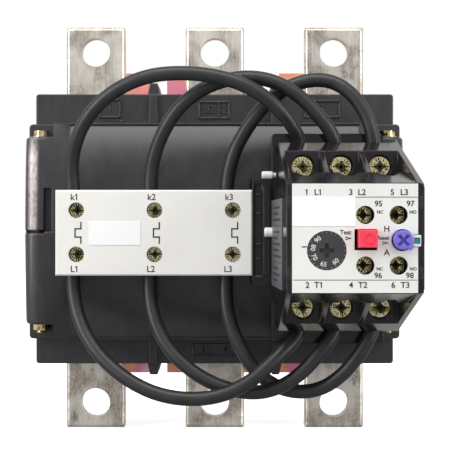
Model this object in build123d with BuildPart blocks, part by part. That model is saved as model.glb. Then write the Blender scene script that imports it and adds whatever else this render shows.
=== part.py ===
"""Thermal overload relay on a three-phase current transformer block.

Frame: +Z up along the busbars, +X to the right, the front faces -Y.
The origin is the centre of the block on the back face of the base plate.
All sizes are in millimetres.
"""

import os
from math import pi, radians, tan

from build123d import *

os.makedirs("parts", exist_ok=True)

# ---- driving dimensions ----
PITCH = 50.0  # phase spacing

PLATE_W, PLATE_H, PLATE_T, PLATE_Z = 112.0, 133.5, 2.0, 2.0
SLOT_R, SLOT_END = 3.5, 52.0  # open fixing slots, half width and height of the round end
PLATE_SCREWS = [(x, z) for x in (-48.0, 48.0) for z in (-30.0, 30.0)]
PLATE_SCREW_R = 1.9

BAR_W, BAR_T, BAR_LEN, BAR_Y = 24.5, 6.0, 168.0, -32.0
BAR_HOLE_R, BAR_HOLE_Z, BAR_EDGE = 6.0, 73.5, 1.5

FLANGE_X, FLANGE_TOP, FLANGE_BOTTOM, FLANGE_Y = 73.0, 54.5, -55.6, -48.0
BODY_X, BODY_TOP, BODY_BOTTOM, BODY_Y = 74.3, 41.4, -44.6, -62.0
BARREL_Y = -73.0  # the crown of the curved front
EAR_Y, EAR_X, EAR_BLEND_X = -69.0, 66.5, 57.0  # the flatter sides, and where they blend in
PARTING_Z = -1.6
WALL, SIDE_WALL = 3.0, 3.1
SEAT_Y = -70.5  # flat seats cut in the crown for the terminal block and the adapter
NOTCH_X, NOTCH_TOP, NOTCH_BOTTOM, NOTCH_Y = 63.3, 35.7, -38.1, -57.5
BOLT_X, BOLT_Y, BOLT_R = 68.8, -61.2, 2.0
HEAD_R, HEAD_H, WASHER_R, WASHER_H = 3.0, 2.0, 3.4, 0.7  # of the long bolts
NUT_R, NUT_H = 3.3, 2.6
GROOVE_X, GROOVE_W, GROOVE_TOP = -66.4, 3.0, 15.3  # moulded groove beside the terminal block
SEAM_X, SEAM_Z0, SEAM_Z1, SEAM_Y = 66.3, -2.4, -1.0, -66.5  # gap of the parting line on the ears

CORE_X, CORE_Y, CORE_H = 17.6, 10.6, 22.0  # half width, half depth and height
CORE_WINDOW_X, CORE_WINDOW_Y = 14.8, 5.6
WINDING_X, WINDING_Y, WINDING_H = 19.6, 12.6, 26.0
WINDOW_X, WINDOW_Y = 12.9, 3.7

BLOCK_X0, BLOCK_X1, BLOCK_Z0, BLOCK_Z1 = -59.5, 14.0, -17.2, 13.2
BLOCK_Y = -84.5
LABEL_PLATE_T = 2.5
CT_X = (-52.1, -22.5, 7.1)  # terminal columns
CT_Z = (6.5, -10.2)  # k row above, l row below
CT_POCKET = 9.0
WIRE_DX = -2.3  # the wires run to the left of the terminal screws
CT_HOLE_R = 2.97
CT_WIRE_Y = -77.5
CT_HEAD_R, CT_HEAD_Y = 2.8, -82.4
BLOCK_SCREWS = [(-37.3, -8.0), (-7.7, 4.4)]
SEAT_SCREW_R, SEAT_HEAD_R, SEAT_HEAD_H = 1.5, 2.9, 2.2
BLOCK_HEAD_Y, ADAPTER_HEAD_Y = -79.0, -76.0
FREE = 0.15  # free fit of a screw in a clearance hole, on the radius

ADAPTER_X0, ADAPTER_X1, ADAPTER_Z0, ADAPTER_Z1, ADAPTER_Y = 22.0, 65.0, -44.4, 36.0, -80.0
SPACER_X0, SPACER_Z0, SPACER_Z1, SPACER_Y = 14.4, -22.8, 18.6, -84.0
PLUGS = ((19.85, 1.44, 4.0), (-1.75, 1.8, 3.0))  # height, radius and reach of the nylon plugs
PLUG_Y, PEG_X = -86.5, 22.0
ADAPTER_SCREWS = [(28.0, 18.0), (28.0, -25.0)]

RX, RZ = 46.5, -3.5  # centre line of the relay
RELAY_HALF = 22.5
SIDE_T = 2.0
REAR_HALF, FRONT_HALF = 35.3, 17.8
LIP_Y, FRONT_Y = -90.5, -150.5
FLOOR_Y, LOW_WALL_Y = -103.6, -126.0
DECK, LOW_WALL = 19.5, 22.6
LEDGE = 31.5  # half height of the open terminal bays at their floor
CAVITY_X, CAVITY_Z = 19.9, 16.6
POLE = 14.1
POLES = (-POLE, 0.0, POLE)
MAIN_Z, MAIN_HEAD_Y = 25.7, -103.0
LEAD_HOLE_Y = -85.5
COVER_Y, FACE_Y = -151.6, -152.0
DIAL_X, DIAL_Z, DIAL_R = -9.4, -4.0, 6.3
TEST_X, TEST_Z, TEST_W, TEST_H = 3.7, -0.15, 6.2, 5.8
RESET_X, RESET_Z, RESET_R = 15.2, -0.6, 3.2
AUX_X, AUX_Z, AUX_HOLE_R, AUX_WELL = (3.15, 14.0), (7.6, -8.9), 3.0, 6.8
FLAG_X, FLAG_Z, FLAG_SIZE = 20.0, -0.8, 1.9
ADAPTER_RELAY_SCREWS = [(RX - 7.2, RZ + 27.0), (RX + 7.2, RZ - 27.0)]
LEVER_X, LEVER_PIN_R = 14.1, 1.0
CONTACT_TOP, CONTACT_BOTTOM = AUX_Z[0] + 2.5, AUX_Z[1] - 2.5
TEST_FRONT, RESET_FRONT = -156.0, -155.0
COVER_OVERHANG = 0.6  # how far the cover overhangs the case, top and bottom together

LEAD_D = 5.4
FERRULE_R = 1.6


def save(piece, label):
    piece.part.label = label
    export_step(piece.part, f"parts/{label}.step")


def front(y, x=0.0, z=0.0):
    """A plane that faces the front: local X is +X, local Y is +Z, and extrusions go to -Y."""
    return Plane(origin=(x, y, z), x_dir=(1, 0, 0), z_dir=(0, -1, 0))


def relay(y, x=0.0, z=0.0):
    """A front plane placed from the relay's centre line."""
    return front(y, RX + x, RZ + z)


def side(x):
    """A plane whose normal is +X: local X is +Y, local Y is +Z."""
    return Plane(origin=(x, 0, 0), x_dir=(0, 1, 0), z_dir=(1, 0, 0))


def up(z, x=0.0, y=0.0):
    return Plane(origin=(x, y, z), x_dir=(1, 0, 0), z_dir=(0, 0, 1))


def block(x0, x1, y0, y1, z0, z1, mode=Mode.ADD):
    """A box between two corners, in the part being built."""
    with Locations(((x0 + x1) / 2, (y0 + y1) / 2, (z0 + z1) / 2)):
        Box(abs(x1 - x0), abs(y1 - y0), abs(z1 - z0), mode=mode)


def relay_block(x0, x1, y0, y1, z0, z1, mode=Mode.ADD):
    block(RX + x0, RX + x1, y0, y1, RZ + z0, RZ + z1, mode)


def rod(plane, radius, length, mode=Mode.ADD):
    """A round bar from a plane along its normal."""
    with BuildSketch(plane) as disc:
        Circle(radius)
    extrude(disc.sketch, amount=length, mode=mode)


# ---- base plate ----
def base_plate():
    with BuildPart() as plate:
        with BuildSketch(front(0, 0, PLATE_Z)):
            RectangleRounded(PLATE_W, PLATE_H, 2)
            with Locations((-PITCH / 2, SLOT_END), (PITCH / 2, SLOT_END)):
                Circle(SLOT_R, mode=Mode.SUBTRACT)
            with Locations((-PITCH / 2, -SLOT_END), (PITCH / 2, -SLOT_END)):
                Circle(SLOT_R, mode=Mode.SUBTRACT)
            for x in (-PITCH / 2, PITCH / 2):
                for sign in (-1, 1):
                    with Locations((x, sign * (SLOT_END + 10))):
                        Rectangle(2 * SLOT_R, 20, mode=Mode.SUBTRACT)
        extrude(amount=PLATE_T)
        for x, z in PLATE_SCREWS:
            rod(front(0, x, z), PLATE_SCREW_R + FREE, PLATE_T, Mode.SUBTRACT)
    save(plate, "base_plate")


def plate_screws():
    """Four flat-head screws from behind, into the housing's back wall."""
    with BuildPart() as screws:
        for x, z in PLATE_SCREWS:
            rod(front(-PLATE_T + 1.9, x, z), PLATE_SCREW_R, 4.7)
    save(screws, "plate_screws")


# ---- current transformer housing ----
def barrel_outline(inset, back, edge=BODY_Y):
    """Side outline of the front body, drawn on a side plane."""
    middle = (BODY_TOP + BODY_BOTTOM) / 2
    top, bottom = BODY_TOP - inset, BODY_BOTTOM + inset
    with BuildLine() as outline:
        Polyline((edge + inset, bottom), (back, bottom), (back, top), (edge + inset, top))
        ThreePointArc((edge + inset, top), (BARREL_Y + inset, middle), (edge + inset, bottom))
    make_face(outline.edges())


def front_body():
    """The curved front: a deep barrel that blends into a flatter side at each end."""
    back = FLANGE_Y + 1
    with BuildSketch(side(-EAR_BLEND_X)) as barrel:
        barrel_outline(0, back)
    extrude(barrel.sketch, amount=2 * EAR_BLEND_X)
    for sign in (-1, 1):
        with BuildSketch(side(sign * EAR_BLEND_X)) as inner:
            barrel_outline(0, back)
        with BuildSketch(side(sign * EAR_X)) as outer:
            barrel_outline(0, back, EAR_Y)
        loft([inner.sketch, outer.sketch])
        with BuildSketch(side(sign * EAR_X)) as flat:
            barrel_outline(0, back, EAR_Y)
        extrude(flat.sketch, amount=sign * (BODY_X - EAR_X))


def nubs():
    """Tapered ribs between the phases, above and below the flange."""
    for sign, edge in ((1, FLANGE_TOP), (-1, FLANGE_BOTTOM)):
        for x in (-PITCH / 2, PITCH / 2):
            with BuildSketch(front(-22, x, edge)) as tooth:
                with BuildLine():
                    Polyline(
                        (-2.6, -sign),
                        (-2.6, 0),
                        (-1.5, sign * 4.8),
                        (1.5, sign * 4.8),
                        (2.6, 0),
                        (2.6, -sign),
                        close=True,
                    )
                make_face()
            extrude(tooth.sketch, amount=24)


def housing(keep, label):
    with BuildPart() as shell:
        block(-FLANGE_X, FLANGE_X, -PLATE_T, FLANGE_Y, FLANGE_BOTTOM, FLANGE_TOP)
        fillet(shell.edges().filter_by(Axis.Y), 1.3)
        front_body()
        corner_edges = (
            shell.edges()
            .filter_by(GeomType.CIRCLE)
            .filter_by(lambda e: e.radius > 50)
            .filter_by(lambda e: abs(abs(e.center().X) - BODY_X) < 0.01)
        )
        fillet(corner_edges, 5.0)
        nubs()
        for x in (-BODY_X - 5, NOTCH_X):
            reach = BODY_X + 5 - NOTCH_X
            block(x, x + reach, NOTCH_Y, -80, NOTCH_TOP, BODY_TOP + 5, Mode.SUBTRACT)
            block(x, x + reach, NOTCH_Y, -80, BODY_BOTTOM - 5, NOTCH_BOTTOM, Mode.SUBTRACT)
        outer_corners = shell.edges().filter_by(Axis.Y).filter_by(
            lambda e: abs(abs(e.center().X) - BODY_X) < 0.01
        )
        fillet(outer_corners, 1.6)
        block(
            SIDE_WALL - FLANGE_X,
            FLANGE_X - SIDE_WALL,
            -PLATE_T - WALL,
            FLANGE_Y + WALL,
            FLANGE_BOTTOM + WALL,
            FLANGE_TOP - WALL,
            Mode.SUBTRACT,
        )
        with BuildSketch(side(-60.5)):
            barrel_outline(WALL, FLANGE_Y + WALL + 1)
        extrude(amount=121, mode=Mode.SUBTRACT)
        for x in (-PITCH, 0, PITCH):
            half, deep = BAR_W / 2 + FREE, BAR_T / 2 + FREE
            block(x - half, x + half, BAR_Y - deep, BAR_Y + deep, -60, 60, Mode.SUBTRACT)
        block(BLOCK_X0 - 0.6, BLOCK_X1 + 0.4, SEAT_Y, -80, -18, 14, Mode.SUBTRACT)
        block(BLOCK_X1 + 0.3, ADAPTER_X1 + 0.6, SEAT_Y, -80, -46, 43, Mode.SUBTRACT)
        block(GROOVE_X, GROOVE_X + GROOVE_W, -69.5, -80, PARTING_Z, GROOVE_TOP, Mode.SUBTRACT)
        for x in (-BODY_X - 1, SEAM_X):
            reach = BODY_X + 1 - SEAM_X
            block(x, x + reach, SEAM_Y, -80, SEAM_Z0, SEAM_Z1, Mode.SUBTRACT)
        for x in (-BOLT_X, BOLT_X):
            rod(up(-60, x, BOLT_Y), BOLT_R + 0.1, 120, Mode.SUBTRACT)
        for x, z in PLATE_SCREWS:
            rod(front(0, x, z), PLATE_SCREW_R + 0.05, 6, Mode.SUBTRACT)
        for x, z in BLOCK_SCREWS + ADAPTER_SCREWS:
            rod(front(-60, x, z), SEAT_SCREW_R + 0.05, 16, Mode.SUBTRACT)
        split(bisect_by=Plane.XY.offset(PARTING_Z), keep=keep)
    save(shell, label)


def housing_bolts():
    """Two long bolts that clamp the shells together, heads at the top."""
    with BuildPart() as bolts:
        for x in (-BOLT_X, BOLT_X):
            low = NOTCH_BOTTOM - NUT_H - 1.0
            rod(up(low, x, BOLT_Y), BOLT_R, NOTCH_TOP - low)
            rod(up(NOTCH_TOP, x, BOLT_Y), WASHER_R, WASHER_H)
            rod(up(NOTCH_TOP + WASHER_H, x, BOLT_Y), HEAD_R, HEAD_H)
    save(bolts, "housing_bolts")


def housing_nuts():
    with BuildPart() as nuts:
        for x in (-BOLT_X, BOLT_X):
            with BuildSketch(up(NOTCH_BOTTOM - NUT_H, x, BOLT_Y)):
                RegularPolygon(NUT_R, 6)
                Circle(BOLT_R, mode=Mode.SUBTRACT)
            extrude(amount=NUT_H)
    save(nuts, "housing_nuts")


# ---- conductors and transformers ----
def busbar(x, label):
    with BuildPart() as bar:
        half = BAR_T / 2
        block(x - BAR_W / 2, x + BAR_W / 2, BAR_Y - half, BAR_Y + half, -BAR_LEN / 2, BAR_LEN / 2)
        fillet(bar.edges().filter_by(Axis.Y), 0.8)
        fillet(bar.faces().sort_by(Axis.Y)[0].edges(), BAR_EDGE)
        for z in (-BAR_HOLE_Z, BAR_HOLE_Z):
            rod(front(BAR_Y + 5, x, z), BAR_HOLE_R, 10, Mode.SUBTRACT)
    save(bar, label)


def ring(x, height, half_x, half_y, window_x, window_y, mode=Mode.ADD):
    """A closed ring around a busbar, rounded at its corners."""
    with BuildSketch(up(-height / 2, x, BAR_Y)) as annulus:
        RectangleRounded(2 * half_x, 2 * half_y, half_y - 2)
        RectangleRounded(2 * window_x, 2 * window_y, 0.6, mode=Mode.SUBTRACT)
    extrude(annulus.sketch, amount=height, mode=mode)


def ct_cores():
    with BuildPart() as cores:
        for x in (-PITCH, 0.0, PITCH):
            ring(x, CORE_H, CORE_X, CORE_Y, CORE_WINDOW_X, CORE_WINDOW_Y)
    save(cores, "ct_cores")


def ct_winding(x, label):
    """The wound and taped coil around a core, hollow where the core is."""
    with BuildPart() as winding:
        ring(x, WINDING_H, WINDING_X, WINDING_Y, WINDOW_X, WINDOW_Y)
        ring(x, CORE_H, CORE_X, CORE_Y, CORE_WINDOW_X, CORE_WINDOW_Y, Mode.SUBTRACT)
    save(winding, label)


# ---- secondary terminal block ----
def terminal_block():
    with BuildPart() as body:
        block(BLOCK_X0, BLOCK_X1, SEAT_Y, BLOCK_Y, BLOCK_Z0, BLOCK_Z1)
        for x in CT_X:
            for z in CT_Z:
                half = CT_POCKET / 2
                block(x - half, x + half, -73, -90, z - half, z + half, Mode.SUBTRACT)
            rod(up(CT_Z[0], x + WIRE_DX, CT_WIRE_Y), LEAD_D / 2 + 0.4, 20, Mode.SUBTRACT)
            rod(up(CT_Z[1], x + WIRE_DX, CT_WIRE_Y), LEAD_D / 2 + 0.4, -20, Mode.SUBTRACT)
        for x, z in BLOCK_SCREWS:
            rod(front(-70, x, z), SEAT_SCREW_R + FREE, 20, Mode.SUBTRACT)
            rod(front(BLOCK_HEAD_Y, x, z), SEAT_HEAD_R + 0.2, 10, Mode.SUBTRACT)
    save(body, "terminal_block")


def terminal_plate():
    x0, x1, z0, z1 = -60.0, 14.45, -18.2, 14.2
    with BuildPart() as plate:
        block(x0, x1, BLOCK_Y, BLOCK_Y - LABEL_PLATE_T, z0, z1)
        chamfer(plate.faces().sort_by(Axis.Y)[0].edges(), 0.5)
        for x in CT_X:
            for z in CT_Z:
                rod(front(BLOCK_Y + 1, x, z), CT_HOLE_R, 5, Mode.SUBTRACT)
    save(plate, "terminal_plate")


def blank_label():
    """Plain write-on label on the terminal plate."""
    with BuildPart() as label:
        y = BLOCK_Y - LABEL_PLATE_T
        block(-47.4, -27.8, y, y - 0.15, -6.6, 2.3)
    save(label, "blank_label")


def combination_slots(y, x, z, radius):
    """The crossed driver slots of a terminal screw, cut in its head."""
    for wide, tall in ((1.7 * radius, 0.9), (0.9, 1.2 * radius)):
        with BuildSketch(front(y + 0.9, x, z)) as slot:
            Rectangle(wide, tall)
        extrude(slot.sketch, amount=2, mode=Mode.SUBTRACT)


def ct_terminal_screws():
    with BuildPart() as screws:
        for x in CT_X:
            for z in CT_Z:
                rod(front(-79.15, x, z), 1.4, 1.05)
                rod(front(CT_HEAD_Y + 2.2, x, z), CT_HEAD_R, 2.2)
                combination_slots(CT_HEAD_Y, x, z, CT_HEAD_R)
    save(screws, "ct_terminal_screws")


def ct_terminal_clamps():
    with BuildPart() as clamps:
        for x in CT_X:
            for z in CT_Z:
                block(x - 4.3, x + 4.3, -73.2, -79.8, z - 3.6, z + 3.6)
                rod(up(z - 5, x + WIRE_DX, CT_WIRE_Y), FERRULE_R + 0.05, 10, Mode.SUBTRACT)
                rod(front(-79, x, z), 1.45, 2, Mode.SUBTRACT)
    save(clamps, "ct_terminal_clamps")


# ---- relay adapter ----
def relay_adapter():
    with BuildPart() as adapter:
        block(ADAPTER_X0, EAR_BLEND_X - 0.3, BODY_Y, SEAT_Y, ADAPTER_Z0, ADAPTER_Z1)
        with BuildSketch(side(ADAPTER_X0 - 1)):
            barrel_outline(-0.3, FLANGE_Y)
        extrude(amount=ADAPTER_X1 - ADAPTER_X0 + 2, mode=Mode.SUBTRACT)
        block(ADAPTER_X0, ADAPTER_X1, SEAT_Y, ADAPTER_Y, ADAPTER_Z0, ADAPTER_Z1)
        fillet(adapter.edges().filter_by(Axis.Y), 1.5)
        for x, z in ADAPTER_SCREWS:
            rod(front(-60, x, z), SEAT_SCREW_R + FREE, 30, Mode.SUBTRACT)
            rod(front(ADAPTER_HEAD_Y, x, z), SEAT_HEAD_R + 0.2, 10, Mode.SUBTRACT)
        for x, z in ADAPTER_RELAY_SCREWS:
            rod(front(-60, x, z), SEAT_SCREW_R + 0.1, 30, Mode.SUBTRACT)
    save(adapter, "relay_adapter")


def seat_screws():
    """Screws that hold the terminal block and the adapter on the housing."""
    with BuildPart() as screws:
        for seats, head_y in ((BLOCK_SCREWS, BLOCK_HEAD_Y), (ADAPTER_SCREWS, ADAPTER_HEAD_Y)):
            for x, z in seats:
                rod(front(-62, x, z), SEAT_SCREW_R, -62 - head_y)
                rod(front(head_y, x, z), SEAT_HEAD_R, SEAT_HEAD_H)
    save(screws, "seat_screws")


def adapter_spacer():
    """Black filler between the terminal block and the relay."""
    with BuildPart() as spacer:
        block(SPACER_X0, ADAPTER_X0, SEAT_Y, SPACER_Y, SPACER_Z0, SPACER_Z1)
        bottom = spacer.edges().filter_by(Axis.Y).group_by(Axis.Z)[0]
        fillet(bottom, 3.0)
        block(15.4, 18.2, SPACER_Y + 0.8, -90, -18.5, 16.4, Mode.SUBTRACT)
    save(spacer, "adapter_spacer")


def peg(z, radius, length, mode=Mode.ADD):
    """A round peg along X, from the relay's left wall."""
    with BuildSketch(Plane(origin=(0, PLUG_Y, z), z_dir=(1, 0, 0)).offset(PEG_X)) as disc:
        Circle(radius)
    extrude(disc.sketch, amount=length, mode=mode)


def nylon_plugs():
    """Two push-in nylon plugs in the relay's left wall."""
    with BuildPart() as plugs:
        for z, radius, reach in PLUGS:
            peg(z, radius, -reach)
        tips = plugs.edges().filter_by(GeomType.CIRCLE)
        fillet(tips.filter_by(lambda e: e.center().X < PEG_X - 1), 0.6)
        for z, radius, reach in PLUGS:
            peg(z, 0.9, 1.4)
    save(plugs, "nylon_plugs")


# ---- relay case ----
def side_outline():
    with BuildLine() as outline:
        Polyline(
            (ADAPTER_Y, RZ + REAR_HALF - 3.3),
            (LIP_Y + 1.5, RZ + REAR_HALF - 3.3),
            (LIP_Y + 1.5, RZ + REAR_HALF),
            (LIP_Y, RZ + REAR_HALF),
            (FRONT_Y, RZ + FRONT_HALF),
            (FRONT_Y, RZ - FRONT_HALF),
            (LIP_Y, RZ - REAR_HALF),
            (LIP_Y + 1.5, RZ - REAR_HALF),
            (LIP_Y + 1.5, RZ - REAR_HALF + 3.3),
            (ADAPTER_Y, RZ - REAR_HALF + 3.3),
            close=True,
        )
    make_face(outline.edges())


def compartment_cut(sign):
    """The open space over the three main terminals of one row."""
    with BuildSketch(side(RX - RELAY_HALF + SIDE_T)) as space:
        with BuildLine():
            Polyline(
                (FLOOR_Y, RZ + sign * DECK),
                (LOW_WALL_Y, RZ + sign * DECK),
                (LOW_WALL_Y, RZ + sign * LOW_WALL),
                (FRONT_Y, RZ + sign * FRONT_HALF),
                (-170, RZ + sign * FRONT_HALF),
                (-170, RZ + sign * 50),
                (FLOOR_Y, RZ + sign * 50),
                close=True,
            )
        make_face()
    extrude(space.sketch, amount=2 * (RELAY_HALF - SIDE_T), mode=Mode.SUBTRACT)


def dividers(sign):
    for x in (-7.2, 7.2):
        with BuildSketch(side(RX + x - 0.9)) as wall:
            with BuildLine():
                Polyline(
                    (FLOOR_Y + 1, RZ + sign * (DECK - 1)),
                    (FLOOR_Y + 1, RZ + sign * LEDGE),
                    (LOW_WALL_Y - 1, RZ + sign * LOW_WALL),
                    (LOW_WALL_Y - 1, RZ + sign * (DECK - 1)),
                    close=True,
                )
            make_face()
        extrude(wall.sketch, amount=1.8)


def relay_case():
    with BuildPart() as case:
        with BuildSketch(side(RX - RELAY_HALF)):
            side_outline()
        extrude(amount=2 * RELAY_HALF)
        with BuildSketch(up(RZ - 24)):
            with BuildLine():
                Polyline((24.5, -81), (22.0, -81), (22.0, -83), (24.0, -128), (24.5, -128), close=True)
            make_face()
        extrude(amount=42)
        for sign in (1, -1):
            compartment_cut(sign)
            dividers(sign)
            for x in POLES:
                rod(relay(-122, x, sign * MAIN_Z), 4.6, 40, Mode.SUBTRACT)
                rod(relay(-93, x, sign * MAIN_Z), 4.2, 20, Mode.SUBTRACT)
                low, high = sorted((sign * 21.2, sign * 29.8))
                relay_block(x - 4.6, x + 4.6, -81.8, -94, low, high, Mode.SUBTRACT)
                low, high = sorted((sign * (CAVITY_Z - 1), sign * 22))
                relay_block(x - 2.1, x + 2.1, -83.9, -85.1, low, high, Mode.SUBTRACT)
                plane = up(RZ + sign * 25, RX + x, LEAD_HOLE_Y)
                rod(plane, LEAD_D / 2 + 0.9, sign * 12, Mode.SUBTRACT)
        relay_block(
            -CAVITY_X, CAVITY_X, -83.9, -170, -CAVITY_Z, CAVITY_Z, Mode.SUBTRACT
        )
        relay_block(19, 21.3, FRONT_Y + 12, -160, FLAG_Z - 2, FLAG_Z + 2, Mode.SUBTRACT)
        for x, z in ADAPTER_RELAY_SCREWS:
            rod(front(-70, x, z), 1.55, 14, Mode.SUBTRACT)
        for z, radius, reach in PLUGS:
            peg(z, radius + 0.05, -reach, Mode.SUBTRACT)
            peg(z, 0.95, 1.45, Mode.SUBTRACT)
    save(case, "relay_case")


def cover_openings(y, depth):
    """Round, square and rectangular openings in the relay's front."""
    rod(relay(y, DIAL_X, DIAL_Z), DIAL_R + 0.15, depth, Mode.SUBTRACT)
    rod(relay(y, RESET_X, RESET_Z), RESET_R + 0.4, depth, Mode.SUBTRACT)
    for x in AUX_X:
        for z in AUX_Z:
            rod(relay(y, x, z), AUX_HOLE_R, depth, Mode.SUBTRACT)
    with BuildSketch(relay(y, TEST_X - 0.4, TEST_Z - 0.3)) as test_hole:
        Rectangle(TEST_W + 1.2, TEST_H + 1.1)
    extrude(test_hole.sketch, amount=depth, mode=Mode.SUBTRACT)
    with BuildSketch(relay(y, FLAG_X + 0.1, FLAG_Z)) as flag_hole:
        Rectangle(FLAG_SIZE + 0.6, 4.2)
    extrude(flag_hole.sketch, amount=depth, mode=Mode.SUBTRACT)


def relay_cover():
    skirt = 1.2
    with BuildPart() as cover:
        with BuildSketch(relay(FRONT_Y)) as outline:
            Rectangle(2 * RELAY_HALF, 2 * FRONT_HALF + COVER_OVERHANG)
            chamfer(outline.vertices(), 1.4)
        extrude(amount=FRONT_Y - COVER_Y)
        x, z = CAVITY_X - 0.15, CAVITY_Z - 0.15
        relay_block(-x, x, FRONT_Y + 18, FRONT_Y, -z, z)
        relay_block(skirt - x, x - skirt, FRONT_Y + 19, FRONT_Y, skirt - z, z - skirt, Mode.SUBTRACT)
        for x in AUX_X:
            for z in AUX_Z:
                half = AUX_WELL / 2 + 0.7
                relay_block(x - half, x + half, FRONT_Y + 15, FRONT_Y, z - half, z + half)
        for x in AUX_X:
            for z in AUX_Z:
                half = AUX_WELL / 2
                relay_block(
                    x - half, x + half, FRONT_Y + 16, FRONT_Y, z - half, z + half, Mode.SUBTRACT
                )
        relay_block(16.4, 20, FRONT_Y + 19, FRONT_Y, FLAG_Z - 1.4, FLAG_Z + 1.4, Mode.SUBTRACT)
        cover_openings(FRONT_Y + 0.1, 5)
        relay_block(-20.8, 20.4, COVER_Y + 0.4, COVER_Y - 1, -17.9, 17.9, Mode.SUBTRACT)
    save(cover, "relay_cover")


def face_plate():
    with BuildPart() as plate:
        relay_block(-20.7, 20.3, COVER_Y + 0.4, FACE_Y, -17.8, 17.8)
        cover_openings(COVER_Y + 1, 5)
    save(plate, "face_plate")


def face_label():
    with BuildPart() as label:
        relay_block(-20.6, -0.1, FACE_Y, FACE_Y - 0.15, 4.0, 13.4)
    save(label, "face_label")


def side_label():
    """Thin rating label on the tapered left side of the case."""
    with BuildPart() as label:
        with BuildSketch(up(RZ - 18.3)):
            with BuildLine():
                Polyline((22.0, -84), (23.87, -126), (23.72, -126), (21.85, -84), close=True)
            make_face()
        extrude(amount=32)
        for z, radius, reach in PLUGS:
            peg(z, radius + 0.1, -reach, Mode.SUBTRACT)
            peg(z, radius + 0.1, reach, Mode.SUBTRACT)
    save(label, "side_label")


def relay_screws():
    """Two screws that hold the relay case to the adapter from behind."""
    with BuildPart() as screws:
        for x, z in ADAPTER_RELAY_SCREWS:
            rod(front(-70.6, x, z), 1.5, 13)
    save(screws, "relay_screws")


# ---- relay terminals and conductors ----
def main_terminal_screws():
    with BuildPart() as screws:
        for sign in (1, -1):
            for x in POLES:
                z = sign * MAIN_Z
                rod(relay(-87.2, x, z), 1.9, 13)
                rod(relay(-98.6, x, z), 3.8, 1.2)
                rod(relay(-99.8, x, z), 3.5, 3.2)
                combination_slots(MAIN_HEAD_Y, RX + x, RZ + z, 3.5)
    save(screws, "main_terminal_screws")


def main_terminal_clamps():
    with BuildPart() as clamps:
        for sign in (1, -1):
            for x in POLES:
                low, high = sorted((sign * 21.4, sign * 29.6))
                relay_block(x - 4.5, x + 4.5, -82, -93.8, low, high)
                plane = up(RZ + sign * 20, RX + x, LEAD_HOLE_Y)
                rod(plane, FERRULE_R + 0.05, sign * 12, Mode.SUBTRACT)
                rod(relay(-86, x, sign * MAIN_Z), 1.95, 10, Mode.SUBTRACT)
    save(clamps, "main_terminal_clamps")


def phase_conductors():
    with BuildPart() as strips:
        for x in POLES:
            relay_block(x - 2, x + 2, -84, -85, -21.4, 21.4)
    save(strips, "phase_conductors")


def bimetal_strips():
    with BuildPart() as strips:
        for x in POLES:
            relay_block(x - 2, x + 2, -85, -98, 12, 14)
            relay_block(x - 0.5, x + 0.5, -93, -98, -13, 12)
    save(strips, "bimetal_strips")


def heater_windings():
    with BuildPart() as sleeves:
        for x in POLES:
            relay_block(x - 1.8, x + 1.8, -92, -99, -6, 9)
        for x in POLES:
            relay_block(x - 0.6, x + 0.6, -92.9, -98.1, -7, 10, Mode.SUBTRACT)
    save(sleeves, "heater_windings")


# ---- relay mechanism ----
def trip_slider():
    """Bar pushed sideways by the tips of the bimetal strips."""
    with BuildPart() as slider:
        relay_block(-19, 16.5, -92.5, -98.5, -15.9, -14)
        for x in POLES:
            relay_block(x + 0.65, x + 1.65, -93, -98, -14, -11.5)
        relay_block(11.5, 13.2, -98.5, -104, -15.9, -14)
    save(slider, "trip_slider")


def trip_lever():
    """Compensated lever that the slider tilts, on a pin along Y."""
    with BuildPart() as lever:
        relay_block(LEVER_X - 0.8, LEVER_X + 0.8, -101, -104, -15.6, 8)
        rod(relay(-101, LEVER_X), 2.2, 3)
        relay_block(LEVER_X - 0.8, LEVER_X + 0.8, -104, -112, 6.5, 8)
        rod(relay(-100, LEVER_X), LEVER_PIN_R + 0.05, 5, Mode.SUBTRACT)
    save(lever, "trip_lever")


def lever_pin():
    with BuildPart() as pin:
        rod(relay(-100, LEVER_X), LEVER_PIN_R, 8)
    save(pin, "lever_pin")


def mechanism_plate():
    """Inner plate between the bimetal chamber and the contacts."""
    with BuildPart() as plate:
        relay_block(-19.7, 19.7, -106, -108.5, -16.4, 16.4)
        rod(relay(-105, LEVER_X), LEVER_PIN_R, 5, Mode.SUBTRACT)
        relay_block(LEVER_X - 3.4, LEVER_X + 2.2, -105, -110, 5, 9.5, Mode.SUBTRACT)
    save(plate, "mechanism_plate")


def contact_base():
    """Plate that holds the fixed contacts and guides the plungers."""
    with BuildPart() as plate:
        relay_block(-19.6, 19.6, -129, -131.5, -16.3, 16.3)
        rod(relay(-128, TEST_X, TEST_Z), 1.45, 5, Mode.SUBTRACT)
        rod(relay(-128, RESET_X, RESET_Z), 1.55, 5, Mode.SUBTRACT)
        rod(relay(-128, DIAL_X, DIAL_Z), 2.06, 5, Mode.SUBTRACT)
        relay_block(18.3, 20, -128, -133, FLAG_Z - 1.1, FLAG_Z + 1.1, Mode.SUBTRACT)
        for x in AUX_X:
            for z in (CONTACT_TOP, CONTACT_BOTTOM - 0.7):
                relay_block(x - 1.5, x + 1.5, -128, -133, z, z + 0.7, Mode.SUBTRACT)
    save(plate, "contact_base")


def fixed_contacts():
    """Strips from the auxiliary clamps back to the contact lips."""
    with BuildPart() as strips:
        for x, lip_y in ((AUX_X[0], -118.3), (AUX_X[1], -121.6)):
            relay_block(x - 1.5, x + 1.5, lip_y, -142, CONTACT_TOP, CONTACT_TOP + 0.7)
            relay_block(x - 1.5, x + 1.5, lip_y, lip_y - 1, 7.2, CONTACT_TOP)
            relay_block(x - 1.5, x + 1.5, lip_y, -142, CONTACT_BOTTOM - 0.7, CONTACT_BOTTOM)
            relay_block(x - 1.5, x + 1.5, lip_y, lip_y - 1, CONTACT_BOTTOM, -8.4)
    save(strips, "fixed_contacts")


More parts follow.
